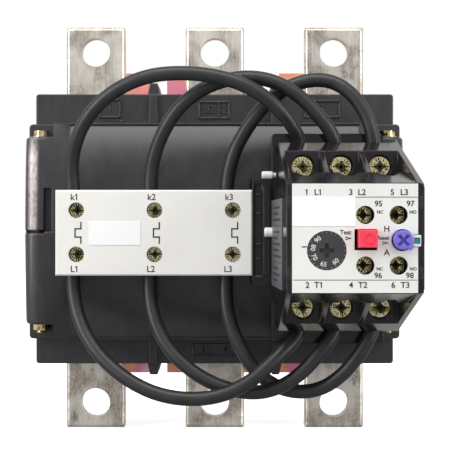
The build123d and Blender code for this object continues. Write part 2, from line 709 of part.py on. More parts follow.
def contact_carrier():
    with BuildPart() as carrier:
        relay_block(0.5, 19.3, -114, -117, -2.5, 2.5)
        for x in AUX_X:
            relay_block(x - 1, x + 1, -117, -119.4, -1.5, 1.5)
    save(carrier, "contact_carrier")


def contact_bridges():
    """Moving contact bridges, normally closed on the left and normally open on the right."""
    with BuildPart() as bridges:
        for x in AUX_X:
            relay_block(x - 1.5, x + 1.5, -119.4, -120, -10.5, 9.5)
    save(bridges, "contact_bridges")


def aux_terminal_screws():
    with BuildPart() as screws:
        for x in AUX_X:
            for z in AUX_Z:
                rod(relay(-139, x, z), 1.4, 3.5)
                rod(relay(-142.5, x, z), 2.8, 2.4)
                combination_slots(-144.9, RX + x, RZ + z, 2.8)
    save(screws, "aux_terminal_screws")


def aux_terminal_clamps():
    with BuildPart() as clamps:
        for x in AUX_X:
            for z in AUX_Z:
                relay_block(x - 3.1, x + 3.1, -136, -142.3, z - 2.5, z + 2.5)
                rod(relay(-138.9, x, z), 1.45, 5, Mode.SUBTRACT)
    save(clamps, "aux_terminal_clamps")


def coil_spring(x, z, y0, y1, radius, wire, turns, label):
    with BuildPart() as spring:
        with BuildLine() as path:
            Helix(
                pitch=(y0 - y1 - 2 * wire) / turns,
                height=y0 - y1 - 2 * wire,
                radius=radius,
                center=(RX + x, y0 - wire, RZ + z),
                direction=(0, -1, 0),
            )
        with BuildSketch(Plane(origin=path.line @ 0, z_dir=path.line % 0)):
            Circle(wire)
        sweep(path=path.line, is_frenet=True)
    save(spring, label)


# ---- operating parts on the face ----
def setting_dial():
    with BuildPart() as dial:
        rod(relay(-148.6, DIAL_X, DIAL_Z), DIAL_R + 0.9, 1.8)
        rod(relay(-150, DIAL_X, DIAL_Z), DIAL_R, 1.7)
        rod(relay(-112, DIAL_X, DIAL_Z), 2.0, 37)
        for wide, tall in ((4.6, 1.3), (1.3, 4.6)):
            with BuildSketch(relay(-150.7, DIAL_X, DIAL_Z)):
                Rectangle(wide, tall)
            extrude(amount=2, mode=Mode.SUBTRACT)
    save(dial, "setting_dial")


def dial_cam():
    """Eccentric on the dial's shaft that shifts the tripping point."""
    with BuildPart() as cam:
        rod(relay(-112, DIAL_X - 1.5, DIAL_Z), 4.5, 3)
        rod(relay(-111, DIAL_X, DIAL_Z), 2.0, 5, Mode.SUBTRACT)
    save(cam, "dial_cam")


def test_button():
    with BuildPart() as button:
        relay_block(
            TEST_X - TEST_W / 2,
            TEST_X + TEST_W / 2,
            -146,
            TEST_FRONT,
            TEST_Z - TEST_H / 2,
            TEST_Z + TEST_H / 2,
        )
        fillet(button.faces().sort_by(Axis.Y)[0].edges(), 0.4)
        rod(relay(-124.2, TEST_X, TEST_Z), 1.4, 22)
        with BuildSketch(relay(TEST_FRONT, TEST_X + 0.4, TEST_Z + 0.2)):
            Circle(1.75)
            Circle(1.35, mode=Mode.SUBTRACT)
        extrude(amount=0.25)
    save(button, "test_button")


def reset_plunger():
    with BuildPart() as plunger:
        rod(relay(-126, RESET_X, RESET_Z), 1.5, 26)
        rod(relay(-146, RESET_X, RESET_Z), 2.6, 1.5)
    save(plunger, "reset_plunger")


def reset_knob():
    """Blue knob: turned between hand and automatic reset, and pushed to reset."""
    with BuildPart() as knob:
        rod(relay(-150.3, RESET_X, RESET_Z), RESET_R, -150.3 - RESET_FRONT)
        fillet(knob.faces().sort_by(Axis.Y)[0].edges(), 0.5)
        rod(relay(-147.6, RESET_X, RESET_Z), 2.5, 3)
        rod(relay(-147, RESET_X, RESET_Z), 1.54, 5.1, Mode.SUBTRACT)
        with BuildSketch(relay(RESET_FRONT + 1.2, RESET_X, RESET_Z)):
            Rectangle(4.6, 1.0, rotation=45)
            Rectangle(4.6, 1.0, rotation=-45)
        extrude(amount=2, mode=Mode.SUBTRACT)
    save(knob, "reset_knob")


def trip_flag():
    """Green trip indicator, carried forward by the contact carrier."""
    half = FLAG_SIZE / 2
    with BuildPart() as flag:
        relay_block(FLAG_X - half, FLAG_X + half, -146.2, -151.9, FLAG_Z - half, FLAG_Z + half)
        relay_block(18.5, FLAG_X + half, -146.2, -147.4, FLAG_Z - half, FLAG_Z + half)
        relay_block(18.5, 19.4, -117.1, -147, FLAG_Z - half, FLAG_Z + half)
    save(flag, "trip_flag")


def flag_window():
    """White frame around the trip indicator."""
    with BuildPart() as window:
        with BuildSketch(relay(-150.6, FLAG_X + 0.1, FLAG_Z)):
            RectangleRounded(2.35, 3.8, 0.4)
            with Locations((-0.1, 0)):
                Rectangle(FLAG_SIZE + 0.15, FLAG_SIZE + 0.15, mode=Mode.SUBTRACT)
        extrude(amount=1.5)
    save(window, "flag_window")


# ---- leads ----
LEADS = {
    "lead_k1": [
        (-54.4, -77.5, 10.8), (-54.4, -77.5, 15.6), (-54.9, -78.2, 22), (-54, -80.4, 29.6),
        (-50.6, -84, 38.2), (-43.9, -87.5, 46.8), (-34.8, -90.5, 53), (-24.2, -92.8, 56.8),
        (-12.4, -94, 57.7), (0, -94.2, 56.6), (11, -94, 53.4), (19.9, -93.5, 48.2),
        (26.8, -91.5, 41.6), (31, -88, 36), (32.4, -85.5, 32), (32.4, -85.5, 26.4),
    ],
    "lead_k2": [
        (-24.6, -77.5, 10.8), (-24.6, -77.5, 15.6), (-24.2, -78.2, 22), (-22.6, -80, 29),
        (-19.4, -82.5, 36.8), (-13.6, -85, 45.6), (-4.9, -87, 52.4), (5.2, -88, 56),
        (15.4, -88.2, 56.8), (24.9, -88.2, 54.4), (33.2, -88.2, 48.8), (39.6, -88, 42),
        (44.4, -87.2, 35.8), (46.5, -85.5, 30.4), (46.5, -85.5, 26.4),
    ],
    "lead_k3": [
        (4.8, -77.5, 10.8), (4.8, -77.5, 15.6), (5.6, -78, 22), (7.8, -78.7, 29.6),
        (12, -79.6, 37.4), (18.3, -80.8, 46), (25.9, -81.8, 52.6), (34.9, -82.4, 56.2),
        (43.9, -83.2, 56.2), (51.4, -84.8, 51.8), (57, -86, 44.2), (59.8, -86.4, 36.4),
        (60.6, -85.5, 30.6), (60.6, -85.5, 26.4),
    ],
    "lead_l1": [
        (-54.4, -77.5, -14.6), (-54.4, -77.5, -19.4), (-54, -78.4, -25.8), (-52.2, -80.6, -33.6),
        (-48.2, -84, -42.2), (-41.7, -87.5, -50.2), (-32.2, -90.5, -57.5), (-20.8, -92.8, -62.6),
        (-8.1, -94, -64.2), (3.2, -94.2, -62.6), (12.8, -94, -58), (20, -93.2, -51.8),
        (25.8, -91, -46.4), (30.4, -87.6, -42.6), (32.4, -85.5, -38.6), (32.4, -85.5, -33.4),
    ],
    "lead_l2": [
        (-24.8, -77.5, -14.6), (-24.8, -77.5, -19.4), (-24.8, -78.2, -25.6), (-23.6, -80.2, -33.4),
        (-20.2, -82.5, -41.8), (-14.2, -85, -49.8), (-5.3, -87, -56.6), (5.3, -88, -61.2),
        (16.5, -88.2, -62.6), (26.2, -88.2, -59.8), (34, -88.2, -54), (39.6, -88, -47.6),
        (44.2, -87, -42.2), (46.5, -85.5, -37.4), (46.5, -85.5, -33.4),
    ],
    "lead_l3": [
        (4.6, -77.5, -14.6), (4.6, -77.5, -19.4), (4.4, -78, -25.6), (5.2, -78.8, -34),
        (8.6, -80, -43.6), (14.3, -81, -53.4), (22, -81.8, -60.2), (31.4, -82.4, -63),
        (41, -83.4, -61.6), (48.8, -84.8, -56), (54.4, -86, -49), (58.4, -86.4, -42.6),
        (60.6, -85.5, -37.4), (60.6, -85.5, -33.4),
    ],
}


def bend_radii(points):
    """One radius per corner: 0.45 of the shorter run over the tangent of half the turn."""
    radii = []
    for before, corner, after in zip(points, points[1:], points[2:]):
        run_in, run_out = corner - before, after - corner
        turn = radians(run_in.get_angle(run_out))
        radii.append(0.45 * min(run_in.length, run_out.length) / tan(turn / 2))
    return radii


def lead(label, route):
    points = [Vector(*point) for point in route]
    radii = bend_radii(points)
    with BuildPart() as tube:
        with BuildLine() as path:
            FilletPolyline(*points, radius=radii)
        with BuildSketch(Plane(origin=path.line @ 0, z_dir=path.line % 0)):
            Circle(LEAD_D / 2)
        sweep(path=path.line)
    save(tube, label)
    length = sum(edge.length for edge in path.edges())
    expected = length * pi * LEAD_D**2 / 4
    print(label, "length", round(length, 1), "radii", [round(r, 1) for r in radii])
    print(label, "volume", round(tube.part.volume), "expected", round(expected))


def lead_ferrules():
    """Crimped ends of the leads, held in the clamps."""
    with BuildPart() as ferrules:
        for x in CT_X:
            rod(up(10.8, x + WIRE_DX, CT_WIRE_Y), FERRULE_R, -7.4)
            rod(up(-14.6, x + WIRE_DX, CT_WIRE_Y), FERRULE_R, 7.4)
        for x in POLES:
            rod(up(26.4, RX + x, LEAD_HOLE_Y), FERRULE_R, -8)
            rod(up(-33.4, RX + x, LEAD_HOLE_Y), FERRULE_R, 8)
    save(ferrules, "lead_ferrules")


# ---- the assembly ----
base_plate()
plate_screws()
housing(Keep.TOP, "housing_upper")
housing(Keep.BOTTOM, "housing_lower")
housing_bolts()
housing_nuts()
for phase, phase_x in (("l1", -PITCH), ("l2", 0.0), ("l3", PITCH)):
    busbar(phase_x, f"busbar_{phase}")
    ct_winding(phase_x, f"ct_winding_{phase}")
ct_cores()
terminal_block()
terminal_plate()
blank_label()
ct_terminal_screws()
ct_terminal_clamps()
relay_adapter()
seat_screws()
adapter_spacer()
nylon_plugs()
relay_case()
relay_cover()
face_plate()
face_label()
side_label()
relay_screws()
main_terminal_screws()
main_terminal_clamps()
phase_conductors()
bimetal_strips()
heater_windings()
trip_slider()
trip_lever()
lever_pin()
mechanism_plate()
contact_base()
fixed_contacts()
contact_carrier()
contact_bridges()
aux_terminal_screws()
aux_terminal_clamps()
coil_spring(9.0, 0.0, -108.6, -113.9, 1.8, 0.25, 4, "carrier_spring")
coil_spring(TEST_X, TEST_Z, -131.6, -145.9, 2.0, 0.3, 7, "test_spring")
coil_spring(RESET_X, RESET_Z, -131.6, -145.9, 2.0, 0.3, 7, "reset_spring")
setting_dial()
dial_cam()
test_button()
reset_plunger()
reset_knob()
trip_flag()
flag_window()
for name, points in LEADS.items():
    lead(name, points)
lead_ferrules()
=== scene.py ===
"""Looks for a thermal overload relay on a current transformer block.

Metres, +Z up along the busbars, +X to the right, the front faces -Y.
"""

import math

import bmesh
import bpy
from mathutils import Matrix, Vector


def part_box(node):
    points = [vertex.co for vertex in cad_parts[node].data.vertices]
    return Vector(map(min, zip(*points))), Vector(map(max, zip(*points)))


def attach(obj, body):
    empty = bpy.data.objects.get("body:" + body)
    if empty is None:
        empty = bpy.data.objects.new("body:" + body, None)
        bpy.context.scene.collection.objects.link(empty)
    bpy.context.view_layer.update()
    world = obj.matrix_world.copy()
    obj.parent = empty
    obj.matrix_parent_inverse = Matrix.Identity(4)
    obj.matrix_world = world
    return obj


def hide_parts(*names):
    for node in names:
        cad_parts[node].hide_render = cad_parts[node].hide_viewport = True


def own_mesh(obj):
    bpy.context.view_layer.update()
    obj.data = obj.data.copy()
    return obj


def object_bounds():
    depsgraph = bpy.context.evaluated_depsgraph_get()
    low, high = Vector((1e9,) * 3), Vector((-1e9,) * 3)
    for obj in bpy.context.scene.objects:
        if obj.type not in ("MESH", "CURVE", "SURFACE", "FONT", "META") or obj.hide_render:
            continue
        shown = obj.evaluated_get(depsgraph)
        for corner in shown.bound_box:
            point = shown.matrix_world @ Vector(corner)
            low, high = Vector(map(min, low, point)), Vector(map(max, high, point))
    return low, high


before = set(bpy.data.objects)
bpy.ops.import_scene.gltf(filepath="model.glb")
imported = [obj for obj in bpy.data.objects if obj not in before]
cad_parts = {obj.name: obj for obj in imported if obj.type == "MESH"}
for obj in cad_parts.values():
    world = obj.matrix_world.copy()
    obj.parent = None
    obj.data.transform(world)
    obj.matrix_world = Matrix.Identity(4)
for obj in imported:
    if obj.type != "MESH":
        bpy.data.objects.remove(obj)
cad_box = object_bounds()

MM = 0.001
# All places and sizes below are in millimetres, apart from the studio's.
RELAY = Vector((46.5, 0, -3.5))  # centre line of the relay
POLES = (-14.1, 0.0, 14.1)  # its main terminals, from that line
FACE_Y, COVER_Y, PLATE_FRONT_Y = -152.0, -151.6, -87.0
PRESS_TRAVEL = 2.5  # of the test button and of the reset knob


# ---- materials ----
class Paint:
    """A node material around one Principled shader. Sizes are in millimetres."""

    def __init__(self, name, color, rough, metal=0.0, **sockets):
        self.material = bpy.data.materials.new(name)
        self.material.use_nodes = True
        self.tree = self.material.node_tree
        self.shader = self.tree.nodes["Principled BSDF"]
        self.shader.inputs["Base Color"].default_value = (*color, 1)
        self.shader.inputs["Roughness"].default_value = rough
        self.shader.inputs["Metallic"].default_value = metal
        for key, value in sockets.items():
            self.shader.inputs[key.replace("_", " ")].default_value = value
        self.coords = self.add("ShaderNodeTexCoord").outputs["Object"]

    def add(self, kind, **settings):
        node = self.tree.nodes.new(kind)
        for key, value in settings.items():
            setattr(node, key, value)
        return node

    def wire(self, source, target):
        self.tree.links.new(source, target)

    def noise(self, size, stretch=(1, 1, 1), detail=3.0, offset=0.0):
        place = self.add("ShaderNodeMapping")
        place.inputs["Scale"].default_value = [1 / (size * MM * s) for s in stretch]
        place.inputs["Location"].default_value = (offset, offset, offset)
        self.wire(self.coords, place.inputs["Vector"])
        texture = self.add("ShaderNodeTexNoise")
        texture.inputs["Scale"].default_value = 1.0
        texture.inputs["Detail"].default_value = detail
        self.wire(place.outputs["Vector"], texture.inputs["Vector"])
        return texture.outputs["Fac"]

    def ramp(self, factor, *stops):
        node = self.add("ShaderNodeValToRGB")
        stops_made = node.color_ramp.elements
        while len(stops_made) < len(stops):
            stops_made.new(0.5)
        for element, (position, color) in zip(stops_made, stops):
            element.position = position
            element.color = (*color, 1)
        self.wire(factor, node.inputs["Fac"])
        return node.outputs["Color"]

    def mix(self, factor, first, second):
        node = self.add("ShaderNodeMix", data_type="RGBA")
        self.wire(factor, node.inputs["Factor"])
        self.wire(first, node.inputs["A"])
        self.wire(second, node.inputs["B"])
        return node.outputs["Result"]

    def times(self, first, second):
        node = self.add("ShaderNodeMix", data_type="RGBA", blend_type="MULTIPLY")
        node.inputs["Factor"].default_value = 1
        self.wire(first, node.inputs["A"])
        self.wire(second, node.inputs["B"])
        return node.outputs["Result"]

    def along(self, axis, *stops):
        """Brightness set by the place along an axis, in millimetres, over 160 mm."""
        split = self.add("ShaderNodeSeparateXYZ")
        self.wire(self.coords, split.inputs[0])
        shift = self.add("ShaderNodeMapRange")
        shift.inputs["From Min"].default_value = -80 * MM
        shift.inputs["From Max"].default_value = 80 * MM
        self.wire(split.outputs[axis], shift.inputs["Value"])
        places = [((place + 80) / 160, grey(value)) for place, value in stops]
        return self.ramp(shift.outputs["Result"], *places)

    def spread(self, factor, low, high):
        """A number that follows a factor between two limits."""
        node = self.add("ShaderNodeMapRange")
        node.inputs["To Min"].default_value = low
        node.inputs["To Max"].default_value = high
        self.wire(factor, node.inputs["Value"])
        return node.outputs["Result"]

    def color(self, output):
        self.wire(output, self.shader.inputs["Base Color"])

    def rough(self, output):
        self.wire(output, self.shader.inputs["Roughness"])

    def bump(self, height, depth, strength=1.0, soften=0.0):
        """Relief in the surface, with its sharp edges softened in the shading."""
        node = self.add("ShaderNodeBump")
        if soften:
            edge = self.add("ShaderNodeBevel", samples=6)
            edge.inputs["Radius"].default_value = soften * MM
            self.wire(edge.outputs["Normal"], node.inputs["Normal"])
        node.inputs["Distance"].default_value = depth * MM
        node.inputs["Strength"].default_value = strength
        self.wire(height, node.inputs["Height"])
        self.wire(node.outputs["Normal"], self.shader.inputs["Normal"])


def grey(value):
    return (value, value, value)


def plastic(name, color, rough, grain=0.4, depth=0.01, vary=0.25, soften=0.0):
    """Moulded plastic: a fine grain, and slow changes in colour and gloss."""
    paint = Paint(name, color, rough)
    slow = paint.noise(18, detail=4)
    light = [c * (1 + vary) for c in color]
    dark = [c * (1 - vary) for c in color]
    paint.color(paint.ramp(slow, (0.3, dark), (0.7, light)))
    paint.rough(paint.spread(paint.noise(7, offset=3), rough * 0.8, rough * 1.2))
    paint.bump(paint.noise(grain), depth, soften=soften)
    return paint.material


def housing_plastic():
    """Dark mottled plastic, with dust, and a pale band of painted highlight down the upper part of
    the left ear's outer corner, mottled like scuffs.
    """
    paint = Paint("housing_plastic", grey(0.02), 0.3)
    slow = paint.noise(22, detail=5)
    mottle = paint.noise(3.2, stretch=(1, 2.5, 2.5), detail=6)
    base = paint.ramp(slow, (0.3, (0.030, 0.028, 0.0305)), (0.7, (0.044, 0.0412, 0.0447)))
    fleck = paint.ramp(mottle, (0.35, (0.028, 0.026, 0.0285)), (0.7, (0.047, 0.0438, 0.0477)))
    plain = paint.mix(paint.noise(9, offset=5), base, fleck)
    # painted highlight: light from the left catching the left ear's rounded outer corner, on its
    # upper part only, with scuffed mottling
    left = paint.along("X", (-72.8, 0), (-72.2, 1), (-69.8, 1), (-68.6, 0))
    high = paint.along("Z", (-3, 0.06), (-1, 1), (28, 1), (33, 0.3))
    fore = paint.along("Y", (-66, 1), (-62, 0))
    highlight_mottle = paint.ramp(
        paint.noise(0.8, stretch=(1, 1, 2.5), detail=5), (0.3, grey(0.45)), (0.6, grey(1))
    )
    wear_and_painted_highlight = paint.times(paint.times(paint.times(left, high), fore), highlight_mottle)
    pale = paint.ramp(slow, (0.3, (0.34, 0.30, 0.29)), (0.7, (0.85, 0.75, 0.72)))
    dust = paint.ramp(paint.noise(1.3, detail=1, offset=11), (0.80, grey(0)), (0.84, grey(0.35)))
    paint.color(paint.mix(wear_and_painted_highlight, paint.mix(dust, plain, pale), pale))
    paint.rough(paint.spread(mottle, 0.27, 0.36))
    paint.bump(paint.noise(0.5, stretch=(1, 1.5, 1.5)), 0.008, 0.5, soften=0.9)
    return paint.material


def tinned_copper():
    """Tinned bar: cloudy, with scratches along its length, bright nicks and brown stains."""
    paint = Paint("tinned_copper", (0.72, 0.69, 0.64), 0.38, 1.0)
    clouds = paint.noise(5.5, stretch=(1, 1, 2.2), detail=7)
    fine = paint.noise(0.8, stretch=(1, 1, 1.5), detail=5, offset=7)
    scratch = paint.noise(0.4, stretch=(1, 1, 30), detail=4)
    stain = paint.noise(12, detail=4, offset=2)
    tone = paint.ramp(
        clouds,
        (0.30, (0.30, 0.26, 0.21)),
        (0.40, (0.82, 0.765, 0.68)),
        (0.54, (0.94, 0.885, 0.79)),
        (0.68, (1.0, 0.95, 0.86)),
    )
    speck = paint.ramp(
        fine, (0.36, (0.16, 0.14, 0.12)), (0.5, (0.46, 0.43, 0.38)), (0.64, (1, 0.97, 0.9))
    )
    lines = paint.ramp(
        scratch, (0.36, (0.28, 0.25, 0.22)), (0.56, (0.58, 0.54, 0.48)), (0.66, (1, 0.96, 0.88))
    )
    wear_and_painted_highlight = paint.mix(paint.ramp(fine, (0.45, grey(0.05)), (0.6, grey(0.5))), tone, speck)
    drawn = paint.mix(paint.ramp(stain, (0.4, grey(0.1)), (0.6, grey(0.6))), wear_and_painted_highlight, lines)
    brown = paint.ramp(fine, (0.3, (0.24, 0.2, 0.165)), (0.7, (0.72, 0.63, 0.54)))
    paint.color(paint.mix(paint.ramp(stain, (0.48, grey(0.0)), (0.62, grey(0.75))), drawn, brown))
    paint.rough(paint.spread(clouds, 0.25, 0.55))
    paint.bump(scratch, 0.03, 0.6)
    return paint.material


# colours of yellow-passivated zinc, by the value of the noise that spreads them
PLATE_TINTS = (
    (0.26, (0.42, 0.60, 0.30)),
    (0.38, (0.95, 0.80, 0.24)),
    (0.46, (1.0, 0.52, 0.24)),
    (0.54, (1.0, 0.34, 0.36)),
    (0.62, (0.98, 0.32, 0.56)),
    (0.72, (1.0, 0.86, 0.92)),
)
SCREW_TINTS = (
    (0.40, (0.05, 0.06, 0.02)),
    (0.46, (0.34, 0.38, 0.10)),
    (0.50, (0.92, 0.70, 0.24)),
    (0.56, (1.0, 0.96, 0.66)),
    (0.64, (0.66, 0.34, 0.20)),
)
# a lighter copy of the screw tints for the raised ridges: painted highlight
RIDGE_HIGHLIGHT_TINTS = (
    (0.42, (0.62, 0.60, 0.22)),
    (0.50, (1.0, 0.90, 0.46)),
    (0.58, (1.0, 0.99, 0.84)),
)


def yellow_zinc(name, size, tints, rough=0.3, metal=1.0):
    """Yellow-passivated zinc: gold that drifts to pink, magenta and green."""
    paint = Paint(name, (0.75, 0.6, 0.3), rough, metal)
    drift = paint.noise(size, detail=4)
    paint.color(paint.ramp(drift, *tints))
    paint.rough(paint.spread(paint.noise(size / 3, offset=2), rough * 0.7, rough * 1.3))
    paint.bump(paint.noise(0.3), 0.006)
    return paint.material


def lead_sleeve():
    """Black PVC, faintly mottled, with a soft sheen."""
    paint = Paint("lead_sleeve", grey(0.02), 0.42)
    fine = paint.noise(0.7, detail=4)
    paint.color(paint.ramp(paint.noise(6), (0.3, grey(0.014)), (0.7, grey(0.024))))
    paint.rough(paint.spread(fine, 0.36, 0.5))
    paint.bump(fine, 0.01)
    return paint.material


def metal(name, color, rough):
    """Plain worn metal with a brushed grain."""
    paint = Paint(name, color, rough, 1.0)
    wear = paint.noise(2, detail=5)
    dark = [c * 0.7 for c in color]
    paint.color(paint.ramp(wear, (0.35, dark), (0.65, color)))
    paint.rough(paint.spread(wear, rough * 1.3, rough * 0.8))
    paint.bump(paint.noise(0.3, stretch=(1, 1, 12)), 0.01)
    return paint.material


RELAY_BLACK = plastic("relay_black", (0.0095, 0.007, 0.0095), 0.14, depth=0.004, soften=0.6)
HOUSING = housing_plastic()
TERMINAL_BLACK = plastic("terminal_black", (0.012, 0.012, 0.012), 0.35, soften=0.3)
TIN = tinned_copper()
ZINC_PLATE = yellow_zinc("zinc_plate", 19, PLATE_TINTS, 0.4, 0.5)
ZINC_SCREW = yellow_zinc("zinc_screw", 2.4, SCREW_TINTS, 0.17)
ZINC_RIDGE_HIGHLIGHT = yellow_zinc("zinc_ridge_highlight", 2.0, RIDGE_HIGHLIGHT_TINTS, 0.2, 0.6)
LEAD = lead_sleeve()
CREAM = plastic("cream_plate", (0.80, 0.79, 0.755), 0.4, vary=0.03, soften=0.3)
FACE = plastic("face_white", (0.74, 0.75, 0.715), 0.35, vary=0.03)
WHITE = plastic("white_label", (0.9, 0.9, 0.9), 0.45, vary=0.02)
NYLON = plastic("nylon", (0.8, 0.8, 0.81), 0.35, vary=0.05)
LABEL_GREY = plastic("label_grey", (0.12, 0.125, 0.135), 0.4, vary=0.12)
DIAL_GREY = plastic("dial_grey", (0.035, 0.034, 0.037), 0.45, vary=0.1)
RED = plastic("test_red", (0.86, 0.045, 0.09), 0.3, vary=0.06)
BLUE = plastic("reset_blue", (0.16, 0.125, 0.52), 0.3, vary=0.15)
GREEN = plastic("flag_green", (0.02, 0.22, 0.2), 0.4, vary=0.1)
IVORY = plastic("natural_plastic", (0.55, 0.5, 0.4), 0.5)
STEEL = metal("clamp_steel", (0.55, 0.55, 0.52), 0.35)
COPPER = metal("copper", (0.8, 0.42, 0.27), 0.3)
BRASS = metal("brass", (0.78, 0.6, 0.28), 0.3)
TAPE = plastic("coil_tape", (0.6, 0.42, 0.08), 0.6, grain=1.2, depth=0.1)
# ink for the print, also used for the painted shade strips along the housing's barrel
INK_AND_SHADE = plastic("ink_and_shade", (0.012, 0.012, 0.014), 0.6, vary=0.3)
# greenish grime darkened to paint the shade in the screws' slots, rings and ridge gaps
GRIME_AND_SHADE = plastic("grime_and_shade", (0.075, 0.08, 0.035), 0.6, vary=0.4)
PALE_INK = plastic("pale_ink", (0.55, 0.55, 0.56), 0.5, vary=0.1)

CAD_LOOKS = {
    ZINC_PLATE: ["base_plate"],
    ZINC_SCREW: [
        "plate_screws", "housing_bolts", "housing_nuts", "seat_screws", "relay_screws",
        "main_terminal_screws", "ct_terminal_screws", "aux_terminal_screws",
    ],
    HOUSING: ["housing_upper", "housing_lower"],
    TIN: ["busbar_l1", "busbar_l2", "busbar_l3"],
    STEEL: [
        "ct_cores", "ct_terminal_clamps", "main_terminal_clamps", "aux_terminal_clamps",
        "bimetal_strips", "lever_pin", "carrier_spring", "test_spring", "reset_spring",
        "lead_ferrules",
    ],
    TAPE: ["ct_winding_l1", "ct_winding_l2", "ct_winding_l3"],
    TERMINAL_BLACK: ["terminal_block"],
    CREAM: ["terminal_plate"],
    WHITE: ["blank_label", "face_label"],
    RELAY_BLACK: [
        "relay_adapter", "adapter_spacer", "relay_case", "relay_cover", "mechanism_plate",
        "contact_base",
    ],
    NYLON: ["nylon_plugs", "flag_window"],
    FACE: ["face_plate"],
    LABEL_GREY: ["side_label"],
    COPPER: ["phase_conductors", "heater_windings"],
    BRASS: ["fixed_contacts", "contact_bridges"],
    IVORY: ["trip_slider", "trip_lever", "contact_carrier", "dial_cam", "reset_plunger"],
    DIAL_GREY: ["setting_dial"],
    RED: ["test_button"],
    BLUE: ["reset_knob"],
    GREEN: ["trip_flag"],
    LEAD: ["lead_k1", "lead_k2", "lead_k3", "lead_l1", "lead_l2", "lead_l3"],
}


def dress_cad_nodes():
    for material, names in CAD_LOOKS.items():
        for name in names:
            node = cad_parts[name]
            for slot in node.material_slots:
                slot.link = "OBJECT"
                slot.material = material


# ---- leads, on the routes of their CAD solids ----
LEADS = {
    "lead_k1": [
        (-54.4, -77.5, 10.8), (-54.4, -77.5, 15.6), (-54.9, -78.2, 22), (-54, -80.4, 29.6),
        (-50.6, -84, 38.2), (-43.9, -87.5, 46.8), (-34.8, -90.5, 53), (-24.2, -92.8, 56.8),
        (-12.4, -94, 57.7), (0, -94.2, 56.6), (11, -94, 53.4), (19.9, -93.5, 48.2),
        (26.8, -91.5, 41.6), (31, -88, 36), (32.4, -85.5, 32), (32.4, -85.5, 26.4),
    ],
    "lead_k2": [
        (-24.6, -77.5, 10.8), (-24.6, -77.5, 15.6), (-24.2, -78.2, 22), (-22.6, -80, 29),
        (-19.4, -82.5, 36.8), (-13.6, -85, 45.6), (-4.9, -87, 52.4), (5.2, -88, 56),
        (15.4, -88.2, 56.8), (24.9, -88.2, 54.4), (33.2, -88.2, 48.8), (39.6, -88, 42),
        (44.4, -87.2, 35.8), (46.5, -85.5, 30.4), (46.5, -85.5, 26.4),
    ],
    "lead_k3": [
        (4.8, -77.5, 10.8), (4.8, -77.5, 15.6), (5.6, -78, 22), (7.8, -78.7, 29.6),
        (12, -79.6, 37.4), (18.3, -80.8, 46), (25.9, -81.8, 52.6), (34.9, -82.4, 56.2),
        (43.9, -83.2, 56.2), (51.4, -84.8, 51.8), (57, -86, 44.2), (59.8, -86.4, 36.4),
        (60.6, -85.5, 30.6), (60.6, -85.5, 26.4),
    ],
    "lead_l1": [
        (-54.4, -77.5, -14.6), (-54.4, -77.5, -19.4), (-54, -78.4, -25.8), (-52.2, -80.6, -33.6),
        (-48.2, -84, -42.2), (-41.7, -87.5, -50.2), (-32.2, -90.5, -57.5), (-20.8, -92.8, -62.6),
        (-8.1, -94, -64.2), (3.2, -94.2, -62.6), (12.8, -94, -58), (20, -93.2, -51.8),
        (25.8, -91, -46.4), (30.4, -87.6, -42.6), (32.4, -85.5, -38.6), (32.4, -85.5, -33.4),
    ],
    "lead_l2": [
        (-24.8, -77.5, -14.6), (-24.8, -77.5, -19.4), (-24.8, -78.2, -25.6), (-23.6, -80.2, -33.4),
        (-20.2, -82.5, -41.8), (-14.2, -85, -49.8), (-5.3, -87, -56.6), (5.3, -88, -61.2),
        (16.5, -88.2, -62.6), (26.2, -88.2, -59.8), (34, -88.2, -54), (39.6, -88, -47.6),
        (44.2, -87, -42.2), (46.5, -85.5, -37.4), (46.5, -85.5, -33.4),
    ],
    "lead_l3": [
        (4.6, -77.5, -14.6), (4.6, -77.5, -19.4), (4.4, -78, -25.6), (5.2, -78.8, -34),
        (8.6, -80, -43.6), (14.3, -81, -53.4), (22, -81.8, -60.2), (31.4, -82.4, -63),
        (41, -83.4, -61.6), (48.8, -84.8, -56), (54.4, -86, -49), (58.4, -86.4, -42.6),
        (60.6, -85.5, -37.4), (60.6, -85.5, -33.4),
    ],
}
LEAD_D = 5.4


def lead(name, route):
    """One black sleeved lead, a smooth line through its whole route."""
    data = bpy.data.curves.new(name + "_sleeve", "CURVE")
    data.dimensions = "3D"
    spline = data.splines.new("NURBS")
    spline.points.add(len(route) - 1)
    for point, place in zip(spline.points, route):
        point.co = (*[v * MM for v in place], 1)
    spline.order_u = 3
    spline.use_endpoint_u = True
    spline.resolution_u = 12
    data.bevel_depth = LEAD_D / 2 * MM
    data.bevel_resolution = 8
    data.use_fill_caps = True
    data.materials.append(LEAD)
    piece = bpy.data.objects.new(name + "_sleeve", data)
    bpy.context.scene.collection.objects.link(piece)
    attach(piece, "frame")
    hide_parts(name)


# ---- small shapes that detail the CAD pieces ----
RIGHT_TURN = math.radians(90)
CAPITAL = 0.7  # height of a capital letter, over the font's size
THICKEN = 0.035  # how much a letter's strokes gain on each side


def add_flag(mesh, height, depth):
    """The slanted flag at the top of a closing figure one, which the font draws as a bar."""
    right = max(v.co.x for v in mesh.vertices)
    top = max(v.co.y for v in mesh.vertices)
    shapes = bmesh.new()
    shapes.from_mesh(mesh)
    place = Matrix.Translation((right - 0.21 * height, top - 0.13 * height, 0))
    place = place @ Matrix.Rotation(math.radians(40), 4, "Z")
    place = place @ Matrix.Diagonal((0.32 * height, 0.11 * height, depth, 1))
    bmesh.ops.create_cube(shapes, size=1, matrix=place)
    shapes.to_mesh(mesh)
    shapes.free()


